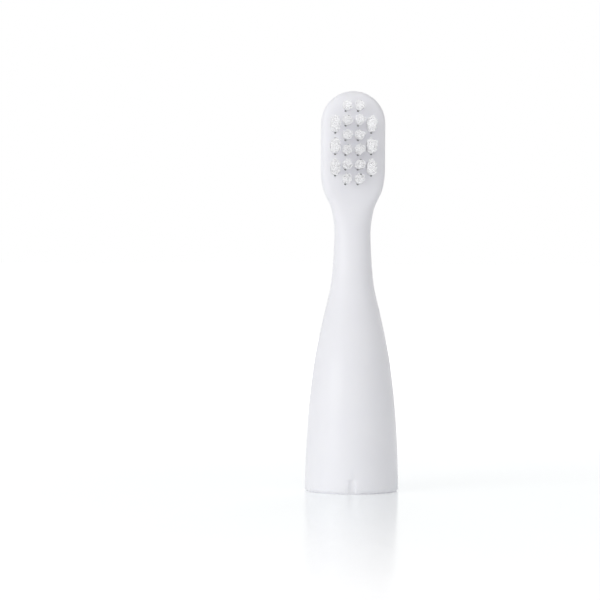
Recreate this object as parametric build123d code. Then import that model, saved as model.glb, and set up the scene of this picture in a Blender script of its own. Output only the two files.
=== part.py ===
from build123d import *
import os
from itertools import pairwise
from math import cos, pi, radians, sin
from scipy.interpolate import PchipInterpolator

# Electric toothbrush head: one hollow moulded body that pushes onto a handle's drive stub,
# with tufts of nylon filament folded round flat anchors and staked into blind holes.
# Millimetres. Origin at the centre of the rim, +Z up the head, bristles towards -Y.

# Body, rim to neck: each rise is the height above the section below it
RIM_RADIUS = 7.5
SKIRT_RISE = 10.0
SKIRT_SIDE_DRAFT = 0.36
SKIRT_FRONT_DRAFT = 0.58
SKIRT_BACK_DRAFT = 0.11
SHOULDER_RISE = 10.0
SHOULDER_SIDE_DRAFT = 1.33
SHOULDER_FRONT_DRAFT = 2.32
SHOULDER_BACK_DRAFT = 0.50
SLOPE_RISE = 7.0
THROAT_RISE = 7.0
NECK_RISE = 7.5
NECK_WIDTH = 5.84
NECK_FRONT = 1.97
NECK_DEPTH = 4.24

# Body, neck to the top of the head
FLARE_RISE = 3.7
HEAD_ROOT_RISE = 3.4
HEAD_SHOULDER_RISE = 2.7
HEAD_STRAIGHT = 7.8
HEAD_WIDTH = 10.4
HEAD_FACE = 2.35
HEAD_THICKNESS = 4.0

# How far each blended section has gone from the shoulder to the neck, or from the neck to the head
SLOPE_SIDE_BLEND = 0.41
SLOPE_PROFILE_BLEND = 0.41
THROAT_SIDE_BLEND = 0.87
THROAT_PROFILE_BLEND = 0.81
FLARE_BLEND = 0.23
HEAD_ROOT_BLEND = 0.85

# Superellipse power of the sections: 2 is an ellipse, higher is squarer
ROUND_POWER = 2.0
HEAD_POWER = 4.5
SECTION_POINTS = 24
SPAN_STEPS = 4
CROWN_STEPS = 8
CROWN_ANGLE = 84.0
RIM_CHAMFER = 0.3

# Hollow of the skirt and the socket for the drive stub
RIM_WALL = 1.3
REGISTER_DEPTH = 5.0
RELIEF_WALL = 2.5
RELIEF_HEIGHT = 15.0
SOCKET_RADIUS = 2.5
SOCKET_WALL = 1.2
SOCKET_RECESS = 6.0
SOCKET_DEPTH = 14.5
RIB_COUNT = 4
RIB_THICKNESS = 1.0
RIB_RECESS = 8.5

# Alignment groove at the front of the rim
GROOVE_RADIUS = 1.2
GROOVE_DEPTH = 0.25
GROOVE_HEIGHT = 3.05

# Tuft field: the top inner row is above the section where the head's round top begins,
# the top outer row below it
INNER_COLUMN_X = 1.0
INNER_ROWS = 6
INNER_PITCH = 2.36
INNER_TOP_RISE = 2.7
INNER_ROOT_DIAMETER = 1.5
INNER_TIP_DIAMETER = 1.85
INNER_FREE_LENGTH = 6.5
OUTER_COLUMN_X = 2.9
OUTER_ROWS = 3
OUTER_PITCH = 3.45
OUTER_TOP_DROP = 0.32
OUTER_ROOT_WIDTH = 1.5
OUTER_ROOT_LENGTH = 2.4
OUTER_TIP_WIDTH = 1.7
OUTER_TIP_LENGTH = 2.7
OUTER_FREE_LENGTH = 7.6
TIP_CHAMFER = 0.2
TUFT_SIDES = 12

# Holes and anchors
HOLE_DEPTH = 2.8
TUFT_CLEARANCE = 0.02
ANCHOR_BITE = 0.2
ANCHOR_THICKNESS = 0.3
ANCHOR_HEIGHT = 1.3
ANCHOR_FLOOR_GAP = 0.4
ANCHOR_CLEARANCE = 0.01
INNER_ANCHOR_ANGLE = 72.0
OUTER_ANCHOR_ANGLE = 90.0

# Heights worked out from the rises
SKIRT_Z = SKIRT_RISE
SHOULDER_Z = SKIRT_Z + SHOULDER_RISE
SLOPE_Z = SHOULDER_Z + SLOPE_RISE
THROAT_Z = SLOPE_Z + THROAT_RISE
NECK_Z = THROAT_Z + NECK_RISE
FLARE_Z = NECK_Z + FLARE_RISE
HEAD_ROOT_Z = FLARE_Z + HEAD_ROOT_RISE
HEAD_LOW_Z = HEAD_ROOT_Z + HEAD_SHOULDER_RISE
HEAD_HIGH_Z = HEAD_LOW_Z + HEAD_STRAIGHT

# Primitives stand on their lower face
UPRIGHT = (Align.CENTER, Align.CENTER, Align.MIN)
OUTWARD = (Align.MIN, Align.CENTER, Align.MIN)

# Flat of the head that carries the bristles: local x is +X, local y is +Z, local z is outward
FACE_PLANE = Plane(origin=(0, HEAD_FACE, HEAD_HIGH_Z), x_dir=(1, 0, 0), z_dir=(0, -1, 0))


def blend(start, end, side_share, profile_share):
    """Mix two body sections; the last value of a section is its superellipse power."""
    shares = (side_share, profile_share, profile_share, side_share)
    return tuple(a + (b - a) * share for a, b, share in zip(start, end, shares))


def body_rails():
    """Half width, front, back and power of the outer body as smooth functions of height."""
    rim = (RIM_RADIUS, -RIM_RADIUS, RIM_RADIUS, ROUND_POWER)
    skirt = (
        RIM_RADIUS - SKIRT_SIDE_DRAFT,
        SKIRT_FRONT_DRAFT - RIM_RADIUS,
        RIM_RADIUS - SKIRT_BACK_DRAFT,
        ROUND_POWER,
    )
    shoulder = (
        RIM_RADIUS - SHOULDER_SIDE_DRAFT,
        SHOULDER_FRONT_DRAFT - RIM_RADIUS,
        RIM_RADIUS - SHOULDER_BACK_DRAFT,
        ROUND_POWER,
    )
    neck = (NECK_WIDTH / 2, NECK_FRONT, NECK_FRONT + NECK_DEPTH, ROUND_POWER)
    head = (HEAD_WIDTH / 2, HEAD_FACE, HEAD_FACE + HEAD_THICKNESS, HEAD_POWER)
    stations = {
        0.0: rim,
        SKIRT_Z: skirt,
        SHOULDER_Z: shoulder,
        SLOPE_Z: blend(shoulder, neck, SLOPE_SIDE_BLEND, SLOPE_PROFILE_BLEND),
        THROAT_Z: blend(shoulder, neck, THROAT_SIDE_BLEND, THROAT_PROFILE_BLEND),
        NECK_Z: neck,
        FLARE_Z: blend(neck, head, FLARE_BLEND, FLARE_BLEND),
        HEAD_ROOT_Z: blend(neck, head, HEAD_ROOT_BLEND, HEAD_ROOT_BLEND),
        HEAD_LOW_Z: head,
        HEAD_HIGH_Z: head,
    }
    return PchipInterpolator(list(stations), list(stations.values()))


RAILS = body_rails()


def body_heights():
    """Heights of the body's sections: equal steps between stations, then by angle over the round top."""
    for low, high in pairwise(RAILS.x):
        for step in range(SPAN_STEPS):
            yield low + (high - low) * step / SPAN_STEPS
    for step in range(CROWN_STEPS + 1):
        yield HEAD_HIGH_Z + HEAD_WIDTH / 2 * sin(radians(CROWN_ANGLE) * step / CROWN_STEPS)


def section(z):
    """Horizontal cut through the body at height z, drawn in over the round top of the head."""
    half_width, front, back, power = RAILS(min(z, HEAD_HIGH_Z))
    rise = max(0, z - HEAD_HIGH_Z) / (HEAD_WIDTH / 2)
    half_width = half_width * (1 - rise**2) ** 0.5
    half_depth = (back - front) / 2 * (1 - rise**power) ** (1 / power)
    centre = (front + back) / 2
    points = []
    for step in range(SECTION_POINTS):
        angle = pi / 2 + 2 * pi * step / SECTION_POINTS
        reach = (abs(cos(angle)) ** power + abs(sin(angle)) ** power) ** (-1 / power)
        points.append((half_width * reach * cos(angle), centre + half_depth * reach * sin(angle), z))
    return make_face(Edge.make_spline(points, periodic=True, parameters=list(range(SECTION_POINTS + 1))))


def outer_form():
    """Skirt, neck and head as one skin through close sections, with the rim's edge broken."""
    skin = loft([section(z) for z in body_heights()], ruled=True)
    return chamfer(skin.edges().group_by(Axis.Z)[0], RIM_CHAMFER)


def skirt_hollow():
    """Space inside the skirt: a round register at the mouth, then a relief round the ribbed socket."""
    register = Cylinder(RIM_RADIUS - RIM_WALL, REGISTER_DEPTH, align=UPRIGHT)
    relief = Cylinder(RIM_RADIUS - RELIEF_WALL, RELIEF_HEIGHT, align=UPRIGHT)
    tube_height = RELIEF_HEIGHT - SOCKET_RECESS
    tube = Pos(0, 0, SOCKET_RECESS) * Cylinder(SOCKET_RADIUS + SOCKET_WALL, tube_height, align=UPRIGHT)
    rib_height = RELIEF_HEIGHT - RIB_RECESS
    rib = Pos(0, 0, RIB_RECESS) * Box(RIM_RADIUS, RIB_THICKNESS, rib_height, align=OUTWARD)
    ribs = [Rot(0, 0, 360 * count / RIB_COUNT) * rib for count in range(RIB_COUNT)]
    socket = Pos(0, 0, SOCKET_RECESS) * Cylinder(SOCKET_RADIUS, SOCKET_DEPTH, align=UPRIGHT)
    return register + (relief - tube - ribs) + socket


def rim_groove():
    """Shallow round-ended groove, cut from outside at the front of the rim."""
    straight = GROOVE_HEIGHT - GROOVE_RADIUS
    cutter = Cylinder(GROOVE_RADIUS, straight, align=UPRIGHT) + Pos(0, 0, straight) * Sphere(GROOVE_RADIUS)
    return Pos(0, GROOVE_DEPTH - RIM_RADIUS - GROOVE_RADIUS, 0) * cutter


def outline(width, length):
    """Many-sided outline of a tuft or its hole on the face, long way up the head."""
    end = RegularPolygon(width / 2, TUFT_SIDES)
    shift = (length - width) / 2
    return make_hull((Pos(0, shift) * end).edges() + (Pos(0, -shift) * end).edges())


def tuft_places(column_x, top_row, rows, pitch):
    """Side, number and place on the face plane of each tuft in a pair of columns."""
    for side, sign in (("left", -1), ("right", 1)):
        for row in range(rows):
            place = FACE_PLANE.location * Pos(sign * column_x, top_row - row * pitch)
            yield side, row + 1, place


def tuft(root, tip, free_length, anchor_slot):
    """Folded bundle: a straight root in the hole, flaring to a trimmed and rounded tip."""
    root_outline = outline(*root)
    shank = extrude(root_outline, -(HOLE_DEPTH - TUFT_CLEARANCE))
    brush = loft([root_outline, Pos(0, 0, free_length) * outline(*tip)])
    brush = chamfer(brush.faces().sort_by(Axis.Z)[-1].edges(), TIP_CHAMFER)
    return shank + brush - anchor_slot


def blade(root_length, angle, height, clearance=0.0):
    """Flat strip across a hole, from just above the hole's floor, longer than the hole is wide."""
    length = root_length + 2 * (ANCHOR_BITE + clearance)
    thickness = ANCHOR_THICKNESS + 2 * clearance
    strip = Box(length, thickness, height + 2 * clearance, align=UPRIGHT)
    return Pos(0, 0, ANCHOR_FLOOR_GAP - HOLE_DEPTH - clearance) * Rot(0, 0, angle) * strip


def tuft_hole(root, angle):
    """Blind hole for a tuft, with the two slits that its anchor cuts on the way in."""
    hole_outline = outline(*(size + 2 * TUFT_CLEARANCE for size in root))
    hole = extrude(hole_outline, -HOLE_DEPTH) + extrude(hole_outline, HEAD_THICKNESS)
    return hole + blade(root[1], angle, HOLE_DEPTH + HEAD_THICKNESS, ANCHOR_CLEARANCE)


def tufted_fields():
    """Name, root and tip size, free length, anchor angle and places of the two kinds of tuft."""
    yield (
        "inner",
        (INNER_ROOT_DIAMETER, INNER_ROOT_DIAMETER),
        (INNER_TIP_DIAMETER, INNER_TIP_DIAMETER),
        INNER_FREE_LENGTH,
        INNER_ANCHOR_ANGLE,
        tuft_places(INNER_COLUMN_X, INNER_TOP_RISE, INNER_ROWS, INNER_PITCH),
    )
    yield (
        "outer",
        (OUTER_ROOT_WIDTH, OUTER_ROOT_LENGTH),
        (OUTER_TIP_WIDTH, OUTER_TIP_LENGTH),
        OUTER_FREE_LENGTH,
        OUTER_ANCHOR_ANGLE,
        tuft_places(OUTER_COLUMN_X, -OUTER_TOP_DROP, OUTER_ROWS, OUTER_PITCH),
    )


def build():
    """All pieces of the head, by node name."""
    pieces = {}
    holes = []
    for field, root, tip, free_length, angle, places in tufted_fields():
        slot = blade(root[1], angle, ANCHOR_HEIGHT, ANCHOR_CLEARANCE)
        bundle = tuft(root, tip, free_length, slot)
        anchor = blade(root[1], angle, ANCHOR_HEIGHT)
        hole = tuft_hole(root, angle)
        anchors = []
        for side, number, place in places:
            pieces[f"{field}_tuft_{side}_{number}"] = place * bundle
            holes.append(place * hole)
            anchors.append(place * anchor)
        pieces[f"{field}_tuft_anchors"] = Compound(children=anchors)
    pieces["brush_body"] = outer_form() - skirt_hollow() - rim_groove() - holes
    return pieces


os.makedirs("parts", exist_ok=True)
for name, piece in build().items():
    export_step(piece, f"parts/{name}.step")
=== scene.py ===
from math import pi, radians

import bmesh
import bpy
from bpy.props import FloatProperty, FloatVectorProperty, IntProperty, PointerProperty
from bpy.types import Operator, Panel, PropertyGroup
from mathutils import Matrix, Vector


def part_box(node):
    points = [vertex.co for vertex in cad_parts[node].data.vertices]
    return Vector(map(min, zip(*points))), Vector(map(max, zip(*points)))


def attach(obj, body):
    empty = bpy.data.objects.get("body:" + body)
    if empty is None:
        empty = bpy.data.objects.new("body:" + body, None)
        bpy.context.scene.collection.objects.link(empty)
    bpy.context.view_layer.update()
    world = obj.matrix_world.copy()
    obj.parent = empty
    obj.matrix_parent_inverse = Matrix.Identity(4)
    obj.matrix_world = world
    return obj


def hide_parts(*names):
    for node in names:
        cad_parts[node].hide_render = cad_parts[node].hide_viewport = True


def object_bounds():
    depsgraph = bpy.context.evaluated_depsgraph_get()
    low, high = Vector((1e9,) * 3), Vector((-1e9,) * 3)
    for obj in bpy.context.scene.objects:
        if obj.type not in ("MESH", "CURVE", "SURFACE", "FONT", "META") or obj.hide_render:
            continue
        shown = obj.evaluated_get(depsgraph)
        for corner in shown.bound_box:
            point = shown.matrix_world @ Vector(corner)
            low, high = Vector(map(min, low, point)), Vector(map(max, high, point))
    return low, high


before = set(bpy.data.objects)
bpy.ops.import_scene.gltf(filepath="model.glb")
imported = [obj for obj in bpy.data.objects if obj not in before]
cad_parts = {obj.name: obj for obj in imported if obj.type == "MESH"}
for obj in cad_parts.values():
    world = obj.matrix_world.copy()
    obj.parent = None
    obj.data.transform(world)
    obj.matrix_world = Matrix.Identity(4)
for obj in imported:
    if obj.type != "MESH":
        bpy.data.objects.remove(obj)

bl_info = {
    "name": "Toothbrush Head Looks",
    "version": (1, 0, 0),
    "blender": (4, 5, 0),
    "location": "View3D > Sidebar > Brush Head",
    "description": (
        "Dresses a packed toothbrush head in moulded plastic and nylon tufts, in a white studio"
    ),
    "category": "Object",
}

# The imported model's box, before any looks are added
CAD_LOW, CAD_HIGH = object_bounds()

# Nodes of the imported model
BODY_NODE = "brush_body"
INNER_NODES = sorted(
    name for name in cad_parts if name.startswith("inner_tuft_") and name[-1].isdigit()
)
OUTER_NODES = sorted(
    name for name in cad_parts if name.startswith("outer_tuft_") and name[-1].isdigit()
)
ANCHOR_NODES = ("inner_tuft_anchors", "outer_tuft_anchors")

# Attributes that the filaments carry for their material
TONE_ATTRIBUTE = "filament_tone"
ALONG_ATTRIBUTE = "filament_along"

# Body: corners closer than this are one, and faces that look down this far keep hard edges
MERGE_DISTANCE = 1e-6
DOWNWARD = -0.999

# Plastic: spread of the roughness, bump of the grain, gloss and scattering under the skin
PLASTIC_ROUGHNESS_SPREAD = 0.04
PLASTIC_BUMP = {"Strength": 0.05, "Distance": 0.00002}
PLASTIC_GLOSS = {"IOR": 1.46, "Specular IOR Level": 0.3}
PLASTIC_SCATTER = {
    "Subsurface Weight": 0.15,
    "Subsurface Radius": (0.9, 0.9, 1.0),
    "Subsurface Scale": 0.001,
}

# Nylon and alloy: size of the patches and of the grain, lowest and highest roughness
NYLON_SKIN = (0.0008, 0.0001, 0.26, 0.38)
NYLON_IOR = 1.53
ALLOY_SKIN = (0.0005, 0.00008, 0.28, 0.48)
ALLOY_BUMP = {"Strength": 0.15, "Distance": 0.00001}

# Noise that lies between these values covers the whole range of the roughness
PATCH_LOW, PATCH_HIGH = 0.3, 0.7
PATCH_DETAIL = 3.0
GRAIN_DETAIL = 2.0

# Roots: height of a row over the pitch, share of a filament that keeps its axis off the hole's
# wall, and share of the pitch by which a root strays
ROW_HEIGHT = 0.866
WALL_SHARE = 0.42
STRAY_SHARE = 0.08

# Filaments: rings along the length, which crowd towards the tip by a power, sides of a ring, and
# where the tip starts to narrow, to this share of the width
RINGS = 5
RING_POWER = 4
SIDES = 6
TIP_START = 0.75
TIP_WIDTH = 0.62

# Noise that lies between these values takes a clump from the innermost lean to the full fan
CLUMP_LOW, CLUMP_HIGH = 0.35, 0.58
# Keeps the filaments' tones apart from their other random draws
TONE_SEED_STEP = 3

# Floor and camera
FLOOR_SEGMENTS = 8
MIRROR_TINT = (0.97, 0.995, 1.0)
MIRROR_ROUGHNESS = 0.14
SENSOR_WIDTH = 36.0


class BodyFinish(PropertyGroup):
    """Moulded plastic of the body."""

    colour: FloatVectorProperty(
        name="Plastic",
        description="Colour of the plastic",
        subtype="COLOR",
        default=(0.86, 0.86, 0.89),
    )
    shade: FloatVectorProperty(
        name="Plastic Shade",
        description="Colour of the plastic where it is slightly denser",
        subtype="COLOR",
        default=(0.82, 0.82, 0.86),
    )
    roughness: FloatProperty(
        name="Roughness",
        description="Mean roughness of the skin",
        subtype="FACTOR",
        default=0.34,
        min=0,
        max=1,
    )
    patch_size: FloatProperty(
        name="Patch Size",
        description="Size of the faint patches in the skin",
        subtype="DISTANCE",
        default=0.006,
    )
    grain_size: FloatProperty(
        name="Grain Size",
        description="Size of the mould's fine grain",
        subtype="DISTANCE",
        default=0.00025,
    )
    crease_angle: FloatProperty(
        name="Crease Angle",
        description="Faces that meet at more than this keep a hard edge",
        subtype="ANGLE",
        default=radians(50),
    )


class TuftFinish(PropertyGroup):
    """Nylon filaments of the tufts."""

    filament: FloatProperty(
        name="Filament",
        description="Diameter of one filament",
        subtype="DISTANCE",
        default=0.00019,
        precision=5,
    )
    spacing: FloatProperty(
        name="Spacing",
        description="Distance between filaments at the root",
        subtype="DISTANCE",
        default=0.000172,
        precision=5,
    )
    root_depth: FloatProperty(
        name="Root Depth",
        description="How far a tuft goes into its hole",
        subtype="DISTANCE",
        default=0.00278,
    )
    inner_spread: FloatProperty(
        name="Inner Spread",
        description="Width at the tips over width at the root, inner tufts",
        default=1.23,
    )
    outer_spread: FloatProperty(
        name="Outer Spread",
        description="Width at the tips over width at the root, outer tufts",
        default=1.13,
    )
    bend: FloatProperty(
        name="Bend",
        description="How far a filament's tip bows aside",
        subtype="DISTANCE",
        default=0.00006,
        precision=5,
    )
    unevenness: FloatProperty(
        name="Unevenness",
        description="Share of the length by which filaments fall short of the trim",
        subtype="FACTOR",
        default=0.03,
        min=0,
        max=0.2,
    )
    raggedness: FloatProperty(
        name="Raggedness",
        description="Share of the width by which clumps of filaments fall short of the fan",
        subtype="FACTOR",
        default=0.4,
        min=0,
        max=0.6,
    )
    clump: FloatProperty(
        name="Clump",
        description="Width of a clump of filaments",
        subtype="DISTANCE",
        default=0.0004,
        precision=5,
    )
    seed: IntProperty(
        name="Seed",
        description="Seed of the filaments' small differences",
        default=7,
    )
    # Painted shade: the roots are coloured darker than the tips, for the shade deep in the tufts
    shaded_root_colour: FloatVectorProperty(
        name="Root Nylon",
        description="Colour of the filaments at the root",
        subtype="COLOR",
        default=(0.955, 0.955, 0.962),
    )
    # Painted light: the tips are coloured lighter than the roots, where light falls on the tufts
    lit_tip_colour: FloatVectorProperty(
        name="Tip Nylon",
        description="Colour of the filaments at the tips",
        subtype="COLOR",
        default=(0.978, 0.978, 0.982),
    )
    clearness: FloatProperty(
        name="Clearness",
        description="Share of a lamp's light that passes one wall of a filament",
        subtype="FACTOR",
        default=0.985,
        min=0,
        max=1,
    )
    scattered: FloatProperty(
        name="Scattered Light",
        description="Share of scattered light that passes one wall of a filament",
        subtype="FACTOR",
        default=0.65,
        min=0,
        max=1,
    )


class AnchorFinish(PropertyGroup):
    """Grey alloy of the anchors, kept dark so that they show as dark dots at the tufts' ends:
    partly the metal, partly painted shade in the holes.
    """

    # Darker than the bare metal: partly painted shade in the holes at the tufts' ends
    colour: FloatVectorProperty(
        name="Alloy",
        description="Colour of the alloy",
        subtype="COLOR",
        default=(0.44, 0.44, 0.43),
    )
    dull_colour: FloatVectorProperty(
        name="Dull Alloy",
        description="Colour of the alloy where it is dull",
        subtype="COLOR",
        default=(0.30, 0.30, 0.29),
    )


class StudioSetup(PropertyGroup):
    """Floor, light and camera."""

    floor_size: FloatProperty(
        name="Floor Size",
        description="Length of the floor's sides",
        subtype="DISTANCE",
        default=6.0,
    )
    floor_colour: FloatVectorProperty(
        name="Floor",
        description="Colour of the floor",
        subtype="COLOR",
        default=(0.88, 0.88, 0.885),
    )
    # Less glow at the rim than far off: a painted shade round the base; more glow far off keeps the
    # floor white where the lamps fall off
    shaded_near_glow: FloatProperty(
        name="Near Glow",
        description="Light that the floor shows the camera by itself, at the rim",
        default=0.308,
    )
    far_glow: FloatProperty(
        name="Far Glow",
        description="Light that the floor shows the camera by itself, out of the lamps' reach",
        default=0.505,
    )
    lamp_reach: FloatProperty(
        name="Lamp Reach",
        description="How far the lamps light the floor",
        subtype="DISTANCE",
        default=0.7,
    )
    reflection: FloatProperty(
        name="Reflection",
        description="Strength of the floor's reflection at the rim",
        subtype="FACTOR",
        default=0.60,
    )
    reflection_reach: FloatProperty(
        name="Reflection Reach",
        description="Distance from the rim's centre at which the reflection ends",
        subtype="DISTANCE",
        default=0.175,
    )
    world_front: FloatProperty(
        name="World Front",
        description="Soft light from the front",
        default=0.878,
    )
    world_back: FloatProperty(
        name="World Back",
        description="Soft light from behind",
        default=0.308,
    )
    key_power: FloatProperty(
        name="Key Power",
        description="Power of the key lamp",
        subtype="POWER",
        default=0.795,
    )
    key_size: FloatProperty(
        name="Key Size",
        description="Side of the key lamp",
        subtype="DISTANCE",
        default=0.30,
    )
    key_place: FloatVectorProperty(
        name="Key Place",
        description="Where the key lamp stands",
        subtype="TRANSLATION",
        default=(-0.373, -0.313, 0.18),
    )
    back_power: FloatProperty(
        name="Back Power",
        description="Power of the back lamp",
        subtype="POWER",
        default=0.9,
    )
    back_size: FloatProperty(
        name="Back Size",
        description="Side of the back lamp",
        subtype="DISTANCE",
        default=0.40,
    )
    back_place: FloatVectorProperty(
        name="Back Place",
        description="Where the back lamp stands",
        subtype="TRANSLATION",
        default=(0.06, 0.52, 0.28),
    )
    light_bounces: IntProperty(
        name="Light Bounces",
        description="How often light may bounce among the filaments",
        default=16,
        min=1,
    )
    clear_walls: IntProperty(
        name="Clear Walls",
        description="How many filament walls a lamp's light may pass",
        default=64,
        min=1,
    )
    camera_place: FloatVectorProperty(
        name="Camera Place",
        description="Where the camera stands",
        subtype="TRANSLATION",
        default=(-0.0085, -0.450, 0.04175),
    )
    camera_pitch: FloatProperty(
        name="Camera Pitch",
        description="How far the camera looks down",
        subtype="ANGLE",
        default=radians(1.425),
    )
    camera_roll: FloatProperty(
        name="Camera Roll",
        description="How far the camera leans aside",
        subtype="ANGLE",
        default=radians(-0.33),
    )
    camera_lens: FloatProperty(
        name="Camera Lens",
        description="Focal length in millimetres on a 36 mm sensor",
        default=168.2,
    )


def add_node(tree, kind, inputs=None, **settings):
    """Add a node with its settings, and link or set its inputs by name or number."""
    node = tree.nodes.new(kind)
    for key, value in settings.items():
        setattr(node, key, value)
    for key, value in (inputs or {}).items():
        socket = node.inputs[key]
        if isinstance(value, bpy.types.NodeSocket):
            tree.links.new(value, socket)
        else:
            socket.default_value = value
    return node


def calculate(tree, operation, *values):
    """Output of a Math node."""
    return add_node(tree, "ShaderNodeMath", dict(enumerate(values)), operation=operation).outputs[0]


def negated(tree, value):
    """The value with its sign turned."""
    return calculate(tree, "MULTIPLY", value, -1)


def map_range(tree, value, start, end, low, high, **settings):
    """Value taken from one range to another."""
    limits = {"From Min": start, "From Max": end, "To Min": low, "To Max": high}
    node = add_node(tree, "ShaderNodeMapRange", {"Value": value, **limits}, **settings)
    return node.outputs["Result"]


def combine(tree, **parts):
    """Vector of the parts X, Y and Z."""
    return add_node(tree, "ShaderNodeCombineXYZ", parts).outputs[0]


def separate(tree, vector):
    """Parts X, Y and Z of a vector."""
    return add_node(tree, "ShaderNodeSeparateXYZ", {0: vector}).outputs


def added(tree, first, second):
    """Sum of two vectors."""
    return add_node(tree, "ShaderNodeVectorMath", {0: first, 1: second}, operation="ADD").outputs[0]


def scaled(tree, vector, factor):
    """Vector made longer by a factor."""
    inputs = {0: vector, "Scale": factor}
    return add_node(tree, "ShaderNodeVectorMath", inputs, operation="SCALE").outputs[0]


def length_of(tree, vector):
    """Length of a vector."""
    return add_node(tree, "ShaderNodeVectorMath", {0: vector}, operation="LENGTH").outputs["Value"]


def mix_colours(tree, share, first, second):
    """Output of a Mix node, whose colours are its sockets 6 and 7 and its output 2."""
    inputs = {"Factor": share, 6: first, 7: second}
    return add_node(tree, "ShaderNodeMix", inputs, data_type="RGBA").outputs[2]


def noise(tree, vector, scale, detail):
    """Output of a Noise Texture node."""
    inputs = {"Vector": vector, "Scale": scale, "Detail": detail}
    return add_node(tree, "ShaderNodeTexNoise", inputs).outputs["Fac"]


def random_number(tree, low, high, seed):
    """Random number for each point, by the node's sockets 2 and 3 and its output 1."""
    inputs = {2: low, 3: high, "Seed": seed}
    return add_node(tree, "FunctionNodeRandomValue", inputs).outputs[1]


def add_sockets(tree, direction, sockets):
    """Add named sockets to a node group's interface."""
    for label, kind in sockets:
        tree.interface.new_socket(label, in_out=direction, socket_type=kind)


def opaque(colour):
    """Four-part colour for a node's socket."""
    return (*colour, 1.0)


def new_material(name):
    """Empty node material and its output node."""
    material = bpy.data.materials.new(name)
    material.use_nodes = True
    tree = material.node_tree
    tree.nodes.clear()
    return material, tree, add_node(tree, "ShaderNodeOutputMaterial")


def surface_variation_group():
    """Shader group for a skin's faint patches and fine grain, shared by every finish."""
    name = "Surface Variation"
    if name in bpy.data.node_groups:
        return bpy.data.node_groups[name]
    tree = bpy.data.node_groups.new(name, "ShaderNodeTree")
    inputs = (
        ("Vector", "NodeSocketVector"),
        ("Light Colour", "NodeSocketColor"),
        ("Dark Colour", "NodeSocketColor"),
        ("Patch Scale", "NodeSocketFloat"),
        ("Grain Scale", "NodeSocketFloat"),
        ("Low Roughness", "NodeSocketFloat"),
        ("High Roughness", "NodeSocketFloat"),
    )
    outputs = (
        ("Color", "NodeSocketColor"),
        ("Roughness", "NodeSocketFloat"),
        ("Height", "NodeSocketFloat"),
    )
    add_sockets(tree, "INPUT", inputs)
    add_sockets(tree, "OUTPUT", outputs)
    given = add_node(tree, "NodeGroupInput").outputs

    patches = noise(tree, given["Vector"], given["Patch Scale"], PATCH_DETAIL)
    grain = noise(tree, given["Vector"], given["Grain Scale"], GRAIN_DETAIL)
    colour = mix_colours(tree, patches, given["Light Colour"], given["Dark Colour"])
    roughness = map_range(
        tree, patches, PATCH_LOW, PATCH_HIGH, given["Low Roughness"], given["High Roughness"]
    )
    results = {"Color": colour, "Roughness": roughness, "Height": grain}
    add_node(tree, "NodeGroupOutput", results)
    return tree


def add_variation(tree, light, dark, patch_size, grain_size, low_roughness, high_roughness):
    """Place the shared variation group on Object coordinates."""
    coordinates = add_node(tree, "ShaderNodeTexCoord")
    inputs = {
        "Vector": coordinates.outputs["Object"],
        "Light Colour": light,
        "Dark Colour": dark,
        "Patch Scale": 1 / patch_size,
        "Grain Scale": 1 / grain_size,
        "Low Roughness": low_roughness,
        "High Roughness": high_roughness,
    }
    return add_node(tree, "ShaderNodeGroup", inputs, node_tree=surface_variation_group()).outputs


def moulded_plastic(finish):
    """Satin white plastic with faint patches and the mould's fine grain."""
    material, tree, output = new_material("moulded_plastic")
    skin = add_variation(
        tree,
        opaque(finish.colour),
        opaque(finish.shade),
        finish.patch_size,
        finish.grain_size,
        finish.roughness - PLASTIC_ROUGHNESS_SPREAD,
        finish.roughness + PLASTIC_ROUGHNESS_SPREAD,
    )
    bump = add_node(tree, "ShaderNodeBump", {"Height": skin["Height"], **PLASTIC_BUMP})
    shader = add_node(
        tree,
        "ShaderNodeBsdfPrincipled",
        {
            "Base Color": skin["Color"],
            "Roughness": skin["Roughness"],
            "Normal": bump.outputs["Normal"],
            **PLASTIC_GLOSS,
            **PLASTIC_SCATTER,
        },
    )
    tree.links.new(shader.outputs["BSDF"], output.inputs["Surface"])
    return material


def nylon(finish):
    """White nylon, each filament with its own tone, that lets light through to the others; the
    roots are painted darker and the tips lighter, as painted shade deep in the tufts.
    """
    material, tree, output = new_material("bristle_nylon")
    along = add_node(tree, "ShaderNodeAttribute", attribute_name=ALONG_ATTRIBUTE).outputs["Fac"]
    tone = add_node(tree, "ShaderNodeAttribute", attribute_name=TONE_ATTRIBUTE).outputs["Fac"]
    shaded_root_colour = opaque(finish.shaded_root_colour)
    # Darker at the roots and lighter at the tips along each filament: painted shade and light
    body = mix_colours(tree, along, shaded_root_colour, opaque(finish.lit_tip_colour))
    dulled = mix_colours(tree, tone, body, shaded_root_colour)
    skin = add_variation(tree, body, dulled, *NYLON_SKIN)
    shader = add_node(
        tree,
        "ShaderNodeBsdfPrincipled",
        {"Base Color": skin["Color"], "Roughness": skin["Roughness"], "IOR": NYLON_IOR},
    )
    clear = add_node(tree, "ShaderNodeBsdfTransparent", {"Color": opaque([finish.clearness] * 3)})
    half_clear = add_node(
        tree,
        "ShaderNodeMixShader",
        {0: finish.scattered, 1: shader.outputs[0], 2: clear.outputs[0]},
    )
    path = add_node(tree, "ShaderNodeLightPath").outputs
    surface = shader.outputs[0]
    for ray, sheer in (("Is Diffuse Ray", half_clear), ("Is Shadow Ray", clear)):
        choice = {0: path[ray], 1: surface, 2: sheer.outputs[0]}
        surface = add_node(tree, "ShaderNodeMixShader", choice).outputs[0]
    tree.links.new(surface, output.inputs["Surface"])
    return material


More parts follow.
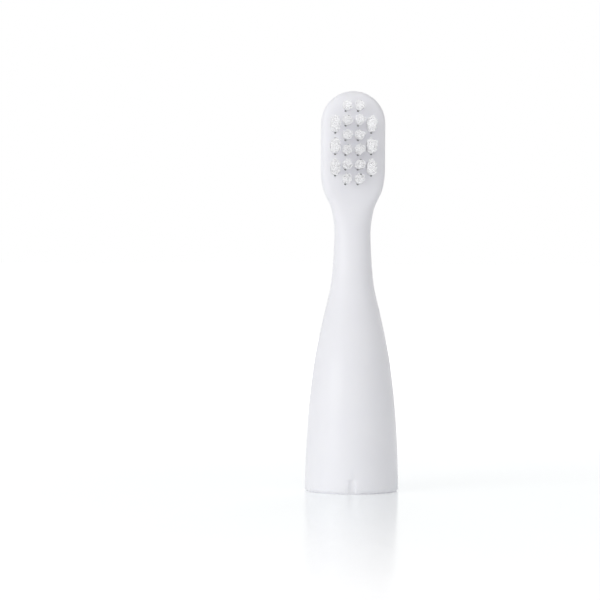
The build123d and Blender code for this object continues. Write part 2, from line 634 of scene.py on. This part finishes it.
def rolled_alloy(finish):
    """Strip of a dark grey alloy, dull in patches; its darkness is partly painted shade in the
    holes.
    """
    material, tree, output = new_material("anchor_alloy")
    skin = add_variation(tree, opaque(finish.colour), opaque(finish.dull_colour), *ALLOY_SKIN)
    bump = add_node(tree, "ShaderNodeBump", {"Height": skin["Height"], **ALLOY_BUMP})
    shader = add_node(
        tree,
        "ShaderNodeBsdfPrincipled",
        {
            "Base Color": skin["Color"],
            "Roughness": skin["Roughness"],
            "Metallic": 1.0,
            "Normal": bump.outputs["Normal"],
        },
    )
    tree.links.new(shader.outputs["BSDF"], output.inputs["Surface"])
    return material


def shown_rays(tree):
    """1 for the rays that show a surface to the camera, straight on or in a reflection."""
    path = add_node(tree, "ShaderNodeLightPath").outputs
    seen = calculate(tree, "MAXIMUM", path["Is Camera Ray"], path["Is Glossy Ray"])
    return calculate(tree, "MAXIMUM", seen, path["Is Transmission Ray"])


def studio_floor(setup, rim_radius):
    """White floor that keeps the shadow, with a reflection that fades away from the rim, and its
    own glow weaker at the rim as a painted shade round the base.
    """
    material, tree, output = new_material("studio_floor")
    coordinates = add_node(tree, "ShaderNodeTexCoord")
    distance = length_of(tree, coordinates.outputs["Object"])
    # Own glow rises from the rim outwards: painted shade near the base, and white far off where the
    # lamps fall off
    own_light = map_range(
        tree, distance, rim_radius, setup.lamp_reach, setup.shaded_near_glow, setup.far_glow
    )
    fade = map_range(
        tree,
        distance,
        rim_radius,
        setup.reflection_reach,
        setup.reflection,
        0.0,
        interpolation_type="SMOOTHSTEP",
    )
    matt = add_node(tree, "ShaderNodeBsdfDiffuse", {"Color": opaque(setup.floor_colour)})
    shown_light = calculate(tree, "MULTIPLY", shown_rays(tree), own_light)
    glow = add_node(tree, "ShaderNodeEmission", {"Strength": shown_light})
    pale = add_node(tree, "ShaderNodeAddShader", {0: matt.outputs[0], 1: glow.outputs[0]})
    mirror = add_node(
        tree,
        "ShaderNodeBsdfGlossy",
        {"Color": opaque(MIRROR_TINT), "Roughness": MIRROR_ROUGHNESS},
    )
    mixed = add_node(
        tree, "ShaderNodeMixShader", {0: fade, 1: pale.outputs[0], 2: mirror.outputs[0]}
    )
    tree.links.new(mixed.outputs[0], output.inputs["Surface"])
    return material


def tuft_tree():
    """Geometry Nodes tree that fills a stadium-shaped hole with fanned, trimmed filaments."""
    name = "Tuft Filaments"
    if name in bpy.data.node_groups:
        return bpy.data.node_groups[name]
    tree = bpy.data.node_groups.new(name, "GeometryNodeTree")
    inputs = (
        ("Half Width", "NodeSocketFloat"),
        ("Half Length", "NodeSocketFloat"),
        ("Spread", "NodeSocketFloat"),
        ("Free Length", "NodeSocketFloat"),
        ("Root Depth", "NodeSocketFloat"),
        ("Filament", "NodeSocketFloat"),
        ("Spacing", "NodeSocketFloat"),
        ("Bend", "NodeSocketFloat"),
        ("Unevenness", "NodeSocketFloat"),
        ("Raggedness", "NodeSocketFloat"),
        ("Clump", "NodeSocketFloat"),
        ("Seed", "NodeSocketInt"),
        ("Place", "NodeSocketVector"),
        ("Material", "NodeSocketMaterial"),
    )
    add_sockets(tree, "INPUT", inputs)
    add_sockets(tree, "OUTPUT", [("Tuft", "NodeSocketGeometry")])
    given = add_node(tree, "NodeGroupInput").outputs

    points = root_points(tree, given)
    filament = filament_shape(tree, given)
    turned = fan_rotation(tree, given)
    shortest = calculate(tree, "SUBTRACT", 1.0, given["Unevenness"])
    trimmed = random_number(tree, shortest, 1.0, given["Seed"])
    placed = add_node(
        tree,
        "GeometryNodeInstanceOnPoints",
        {
            "Points": points,
            "Instance": filament,
            "Rotation": turned,
            "Scale": combine(tree, X=1.0, Y=1.0, Z=trimmed),
        },
    )
    tone_seed = calculate(tree, "ADD", given["Seed"], TONE_SEED_STEP)
    tone = random_number(tree, 0.0, 1.0, tone_seed)
    toned = add_node(
        tree,
        "GeometryNodeStoreNamedAttribute",
        {"Geometry": placed.outputs["Instances"], "Name": TONE_ATTRIBUTE, "Value": tone},
        data_type="FLOAT",
        domain="INSTANCE",
    )
    stood = add_node(
        tree,
        "GeometryNodeTransform",
        {
            "Geometry": toned.outputs[0],
            "Translation": given["Place"],
            "Rotation": (radians(90), 0, 0),
        },
    )
    real = add_node(tree, "GeometryNodeRealizeInstances", {"Geometry": stood.outputs[0]})
    smooth = add_node(tree, "GeometryNodeSetShadeSmooth", {"Geometry": real.outputs[0]})
    painted = add_node(
        tree,
        "GeometryNodeSetMaterial",
        {"Geometry": smooth.outputs[0], "Material": given["Material"]},
    )
    add_node(tree, "NodeGroupOutput", {"Tuft": painted.outputs[0]})
    return tree


def root_points(tree, given):
    """Close-packed points inside the root's outline, the outermost moved to the hole's wall."""
    radius = calculate(tree, "DIVIDE", given["Half Width"], given["Spread"])
    reach = calculate(tree, "DIVIDE", given["Half Length"], given["Spread"])
    straight = calculate(tree, "SUBTRACT", reach, radius)
    off_wall = calculate(tree, "MULTIPLY", given["Filament"], WALL_SHARE)
    inside = calculate(tree, "SUBTRACT", radius, off_wall)

    # Rows that are shifted by turns, with each root a little astray
    columns = calculate(tree, "ROUND", calculate(tree, "DIVIDE", inside, given["Spacing"]))
    pitch = calculate(tree, "DIVIDE", inside, columns)
    half_pitch = calculate(tree, "MULTIPLY", pitch, 0.5)
    row_pitch = calculate(tree, "MULTIPLY", pitch, ROW_HEIGHT)
    rows = calculate(tree, "CEIL", calculate(tree, "DIVIDE", reach, row_pitch))
    grid = add_node(
        tree,
        "GeometryNodeMeshGrid",
        {
            "Size X": calculate(tree, "MULTIPLY", calculate(tree, "MULTIPLY", columns, 2), pitch),
            "Size Y": calculate(tree, "MULTIPLY", calculate(tree, "MULTIPLY", rows, 2), row_pitch),
            "Vertices X": calculate(tree, "MULTIPLY_ADD", columns, 2, 1),
            "Vertices Y": calculate(tree, "MULTIPLY_ADD", rows, 2, 1),
        },
    )
    place = separate(tree, add_node(tree, "GeometryNodeInputPosition").outputs[0])
    row = calculate(tree, "ROUND", calculate(tree, "DIVIDE", place["Y"], row_pitch))
    odd = calculate(tree, "MODULO", calculate(tree, "ABSOLUTE", row), 2)
    stray = calculate(tree, "MULTIPLY", pitch, STRAY_SHARE)
    least = negated(tree, stray)
    jitter = add_node(
        tree,
        "FunctionNodeRandomValue",
        {
            0: combine(tree, X=least, Y=least),
            1: combine(tree, X=stray, Y=stray),
            "Seed": given["Seed"],
        },
        data_type="FLOAT_VECTOR",
    ).outputs[0]
    shift = combine(tree, X=calculate(tree, "MULTIPLY", odd, half_pitch))
    moved = add_node(
        tree,
        "GeometryNodeSetPosition",
        {"Geometry": grid.outputs["Mesh"], "Offset": added(tree, shift, jitter)},
    )

    # Distance from the line between the centres of the outline's round ends
    past_line = calculate(tree, "SUBTRACT", calculate(tree, "ABSOLUTE", place["Y"]), straight)
    beyond = calculate(tree, "MAXIMUM", past_line, 0)
    signed = calculate(tree, "MULTIPLY", beyond, calculate(tree, "SIGN", place["Y"]))
    from_axis = combine(tree, X=place["X"], Y=signed)
    distance = length_of(tree, from_axis)
    outer_limit = calculate(tree, "ADD", inside, half_pitch)
    kept = add_node(
        tree,
        "GeometryNodeDeleteGeometry",
        {
            "Geometry": moved.outputs[0],
            "Selection": calculate(tree, "GREATER_THAN", distance, outer_limit),
        },
        domain="POINT",
    )
    inner_limit = calculate(tree, "SUBTRACT", inside, half_pitch)
    to_wall = calculate(tree, "SUBTRACT", calculate(tree, "DIVIDE", inside, distance), 1.0)
    return add_node(
        tree,
        "GeometryNodeSetPosition",
        {
            "Geometry": kept.outputs[0],
            "Selection": calculate(tree, "GREATER_THAN", distance, inner_limit),
            "Offset": scaled(tree, from_axis, to_wall),
        },
    ).outputs[0]


def filament_shape(tree, given):
    """One filament along +Z, bowed a little, with its tip narrowed."""
    line = add_node(
        tree,
        "GeometryNodeCurvePrimitiveLine",
        {
            "Start": combine(tree, Z=negated(tree, given["Root Depth"])),
            "End": combine(tree, Z=given["Free Length"]),
        },
    )
    rings = add_node(
        tree, "GeometryNodeResampleCurve", {"Curve": line.outputs[0], "Count": RINGS}
    )
    factor = add_node(tree, "GeometryNodeSplineParameter").outputs["Factor"]
    left = calculate(tree, "POWER", calculate(tree, "SUBTRACT", 1.0, factor), RING_POWER)
    along = calculate(tree, "SUBTRACT", 1.0, left)
    bow = calculate(tree, "MULTIPLY", calculate(tree, "POWER", along, 2), given["Bend"])
    length = calculate(tree, "ADD", given["Root Depth"], given["Free Length"])
    climbed = calculate(tree, "MULTIPLY", along, length)
    height = calculate(tree, "SUBTRACT", climbed, given["Root Depth"])
    marked = add_node(
        tree,
        "GeometryNodeStoreNamedAttribute",
        {"Geometry": rings.outputs[0], "Name": ALONG_ATTRIBUTE, "Value": along},
        data_type="FLOAT",
        domain="POINT",
    )
    bowed = add_node(
        tree,
        "GeometryNodeSetPosition",
        {"Geometry": marked.outputs[0], "Position": combine(tree, X=bow, Z=height)},
    )
    profile = add_node(
        tree,
        "GeometryNodeCurvePrimitiveCircle",
        {"Resolution": SIDES, "Radius": calculate(tree, "MULTIPLY", given["Filament"], 0.5)},
    )
    return add_node(
        tree,
        "GeometryNodeCurveToMesh",
        {
            "Curve": bowed.outputs[0],
            "Profile Curve": profile.outputs[0],
            "Scale": map_range(tree, factor, TIP_START, 1.0, 1.0, TIP_WIDTH),
            "Fill Caps": True,
        },
    ).outputs[0]


def fan_rotation(tree, given):
    """Rotation that leans a filament outwards, less in some clumps, and spins it about itself."""
    position = add_node(tree, "GeometryNodeInputPosition").outputs[0]
    clumps = add_node(
        tree,
        "ShaderNodeTexNoise",
        {
            "Vector": position,
            "W": given["Seed"],
            "Scale": calculate(tree, "DIVIDE", 1.0, given["Clump"]),
            "Detail": 0.0,
        },
        noise_dimensions="4D",
    ).outputs["Fac"]
    fullest = calculate(tree, "SUBTRACT", given["Spread"], 1.0)
    least = calculate(tree, "SUBTRACT", fullest, given["Raggedness"])
    growth = map_range(tree, clumps, CLUMP_LOW, CLUMP_HIGH, least, fullest)
    lean = scaled(tree, position, growth)
    rise = combine(tree, Z=given["Free Length"])
    leaned = add_node(
        tree, "FunctionNodeAlignRotationToVector", {"Vector": added(tree, lean, rise)}, axis="Z"
    )
    spin = random_number(tree, 0.0, radians(360), given["Seed"])
    spun = add_node(
        tree, "FunctionNodeAxisAngleToRotation", {"Axis": (0, 0, 1), "Angle": spin}
    )
    return add_node(
        tree,
        "FunctionNodeRotateRotation",
        {0: leaned.outputs[0], 1: spun.outputs[0]},
        rotation_space="LOCAL",
    ).outputs[0]


def finished_mesh(context, piece):
    """New mesh of an object as its modifiers leave it."""
    depsgraph = context.evaluated_depsgraph_get()
    return bpy.data.meshes.new_from_object(piece.evaluated_get(depsgraph), depsgraph=depsgraph)


def tuft_piece(node, spread, finish, material, seed):
    """Bundle of filaments that stands in for one CAD tuft."""
    low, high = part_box(node)
    middle = (low + high) / 2
    face = high.y - finish.root_depth
    values = {
        "Half Width": (high.x - low.x) / 2,
        "Half Length": (high.z - low.z) / 2,
        "Spread": spread,
        "Free Length": face - low.y,
        "Root Depth": finish.root_depth,
        "Filament": finish.filament,
        "Spacing": finish.spacing,
        "Bend": finish.bend,
        "Unevenness": finish.unevenness,
        "Raggedness": finish.raggedness,
        "Clump": finish.clump,
        "Seed": seed,
        "Place": (middle.x, face, middle.z),
        "Material": material,
    }
    piece = bpy.data.objects.new(node + "_filaments", bpy.data.meshes.new(node + "_start"))
    bpy.context.scene.collection.objects.link(piece)
    modifier = piece.modifiers.new("Filaments", "NODES")
    modifier.node_group = tuft_tree()
    for item in modifier.node_group.interface.items_tree:
        if item.in_out == "INPUT":
            modifier[item.identifier] = values[item.name]
    mesh = finished_mesh(bpy.context, piece)
    mesh.name = node + "_filaments"
    piece.modifiers.remove(modifier)
    piece.data = mesh
    if not mesh.polygons:
        raise RuntimeError(f"no filaments were made for {node}")
    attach(piece, "root")
    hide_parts(node)


class BRUSHHEAD_OT_body(Operator):
    """Give the body a smooth skin of moulded plastic"""

    bl_idname = "brush_head.body"
    bl_label = "Body"

    def execute(self, context):
        finish = context.scene.brush_body
        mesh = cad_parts[BODY_NODE].data.copy()
        if "custom_normal" in mesh.attributes:
            mesh.attributes.remove(mesh.attributes["custom_normal"])
        skin = bmesh.new()
        skin.from_mesh(mesh)
        bmesh.ops.remove_doubles(skin, verts=skin.verts, dist=MERGE_DISTANCE)
        for face in skin.faces:
            face.smooth = True
        for edge in skin.edges:
            faces_down = any(face.normal.z < DOWNWARD for face in edge.link_faces)
            edge.smooth = not faces_down and edge.calc_face_angle(pi) < finish.crease_angle
        skin.to_mesh(mesh)
        skin.free()
        mesh.materials.clear()
        mesh.materials.append(moulded_plastic(finish))
        piece = bpy.data.objects.new("moulded_body", mesh)
        context.scene.collection.objects.link(piece)
        weighted = piece.modifiers.new("Soft Edges", "WEIGHTED_NORMAL")
        weighted.keep_sharp = True
        piece.data = finished_mesh(context, piece)
        piece.modifiers.remove(weighted)
        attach(piece, "root")
        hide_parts(BODY_NODE)
        return {"FINISHED"}


class BRUSHHEAD_OT_tufts(Operator):
    """Fill the holes of the face with tufts of nylon filaments"""

    bl_idname = "brush_head.tufts"
    bl_label = "Tufts"

    def execute(self, context):
        finish = context.scene.brush_tufts
        material = nylon(finish)
        tufts = [(node, finish.inner_spread) for node in INNER_NODES]
        tufts += [(node, finish.outer_spread) for node in OUTER_NODES]
        for number, (node, spread) in enumerate(tufts):
            tuft_piece(node, spread, finish, material, finish.seed + number)
        return {"FINISHED"}


class BRUSHHEAD_OT_anchors(Operator):
    """Give the anchors in the holes their grey alloy"""

    bl_idname = "brush_head.anchors"
    bl_label = "Anchors"

    def execute(self, context):
        material = rolled_alloy(context.scene.brush_anchors)
        for node in ANCHOR_NODES:
            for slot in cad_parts[node].material_slots:
                slot.material = material
        return {"FINISHED"}


class BRUSHHEAD_OT_studio(Operator):
    """Set up the floor, the light and the camera"""

    bl_idname = "brush_head.studio"
    bl_label = "Studio"

    def execute(self, context):
        setup = context.scene.brush_studio
        self.lay_floor(context, setup)
        self.light_world(context, setup)
        self.hang_lamp(context, "key_lamp", setup.key_place, setup.key_size, setup.key_power)
        back = self.hang_lamp(
            context, "back_lamp", setup.back_place, setup.back_size, setup.back_power
        )
        # The back lamp stays out of the floor's reflection
        back.visible_glossy = False
        self.set_camera(context, setup)
        context.scene.cycles.diffuse_bounces = setup.light_bounces
        context.scene.cycles.max_bounces = setup.light_bounces
        context.scene.cycles.transparent_max_bounces = setup.clear_walls
        context.scene.view_settings.view_transform = "Standard"
        return {"FINISHED"}

    def lay_floor(self, context, setup):
        """Square floor under the rim."""
        mesh = bpy.data.meshes.new("studio_floor")
        sheet = bmesh.new()
        bmesh.ops.create_grid(
            sheet,
            x_segments=FLOOR_SEGMENTS,
            y_segments=FLOOR_SEGMENTS,
            size=setup.floor_size / 2,
        )
        sheet.to_mesh(mesh)
        sheet.free()
        mesh.materials.append(studio_floor(setup, (CAD_HIGH.x - CAD_LOW.x) / 2))
        floor = bpy.data.objects.new("studio_floor", mesh)
        floor.location.z = CAD_LOW.z
        context.scene.collection.objects.link(floor)

    def light_world(self, context, setup):
        """Soft light, weaker from behind, that the camera and reflections see as white."""
        world = bpy.data.worlds.new("studio_world")
        world.use_nodes = True
        tree = world.node_tree
        tree.nodes.clear()
        direction = add_node(tree, "ShaderNodeTexCoord").outputs["Generated"]
        backwards = separate(tree, direction)["Y"]
        soft = map_range(tree, backwards, -1.0, 1.0, setup.world_front, setup.world_back)
        level = map_range(tree, shown_rays(tree), 0.0, 1.0, soft, 1.0)
        light = add_node(
            tree, "ShaderNodeBackground", {"Color": (1, 1, 1, 1), "Strength": level}
        )
        add_node(tree, "ShaderNodeOutputWorld", {"Surface": light.outputs[0]})
        context.scene.world = world

    def hang_lamp(self, context, name, place, size, power):
        """Square soft lamp that faces the middle of the brush head."""
        lamp = bpy.data.lights.new(name, "AREA")
        lamp.size = size
        lamp.energy = power
        holder = bpy.data.objects.new(name, lamp)
        middle = (CAD_LOW + CAD_HIGH) / 2
        holder.location = place
        holder.rotation_euler = (middle - Vector(place)).to_track_quat("-Z", "Y").to_euler()
        context.scene.collection.objects.link(holder)
        return holder

    def set_camera(self, context, setup):
        """Long lens, two thirds of the way up the brush head and looking slightly down."""
        data = bpy.data.cameras.new("studio_camera")
        data.sensor_width = SENSOR_WIDTH
        data.lens = setup.camera_lens
        camera = bpy.data.objects.new("studio_camera", data)
        camera.location = setup.camera_place
        camera.rotation_euler = (radians(90) - setup.camera_pitch, setup.camera_roll, 0)
        context.scene.collection.objects.link(camera)
        context.scene.camera = camera


class BRUSHHEAD_PT_looks(Panel):
    """Sizes, colours and steps of the brush head's looks"""

    bl_label = "Brush Head"
    bl_space_type = "VIEW_3D"
    bl_region_type = "UI"
    bl_category = "Brush Head"

    def draw(self, context):
        scene = context.scene
        for operator, settings in (
            (BRUSHHEAD_OT_body, scene.brush_body),
            (BRUSHHEAD_OT_tufts, scene.brush_tufts),
            (BRUSHHEAD_OT_anchors, scene.brush_anchors),
            (BRUSHHEAD_OT_studio, scene.brush_studio),
        ):
            box = self.layout.box()
            for name in settings.__annotations__:
                box.prop(settings, name)
            box.operator(operator.bl_idname)


SETTINGS = {
    "brush_body": BodyFinish,
    "brush_tufts": TuftFinish,
    "brush_anchors": AnchorFinish,
    "brush_studio": StudioSetup,
}
OPERATORS = (BRUSHHEAD_OT_body, BRUSHHEAD_OT_tufts, BRUSHHEAD_OT_anchors, BRUSHHEAD_OT_studio)


def register():
    """Make the classes known to Blender and hang the settings on the scene."""
    for item in (*SETTINGS.values(), *OPERATORS, BRUSHHEAD_PT_looks):
        bpy.utils.register_class(item)
    for name, group in SETTINGS.items():
        setattr(bpy.types.Scene, name, PointerProperty(type=group))


def unregister():
    """Take the settings and classes away again."""
    for name in SETTINGS:
        delattr(bpy.types.Scene, name)
    for item in (BRUSHHEAD_PT_looks, *reversed(OPERATORS), *reversed(SETTINGS.values())):
        bpy.utils.unregister_class(item)


def main():
    """Dress the brush head."""
    register()
    bpy.ops.brush_head.body()
    bpy.ops.brush_head.tufts()
    bpy.ops.brush_head.anchors()
    bpy.ops.brush_head.studio()


if __name__ == "__main__":
    main()
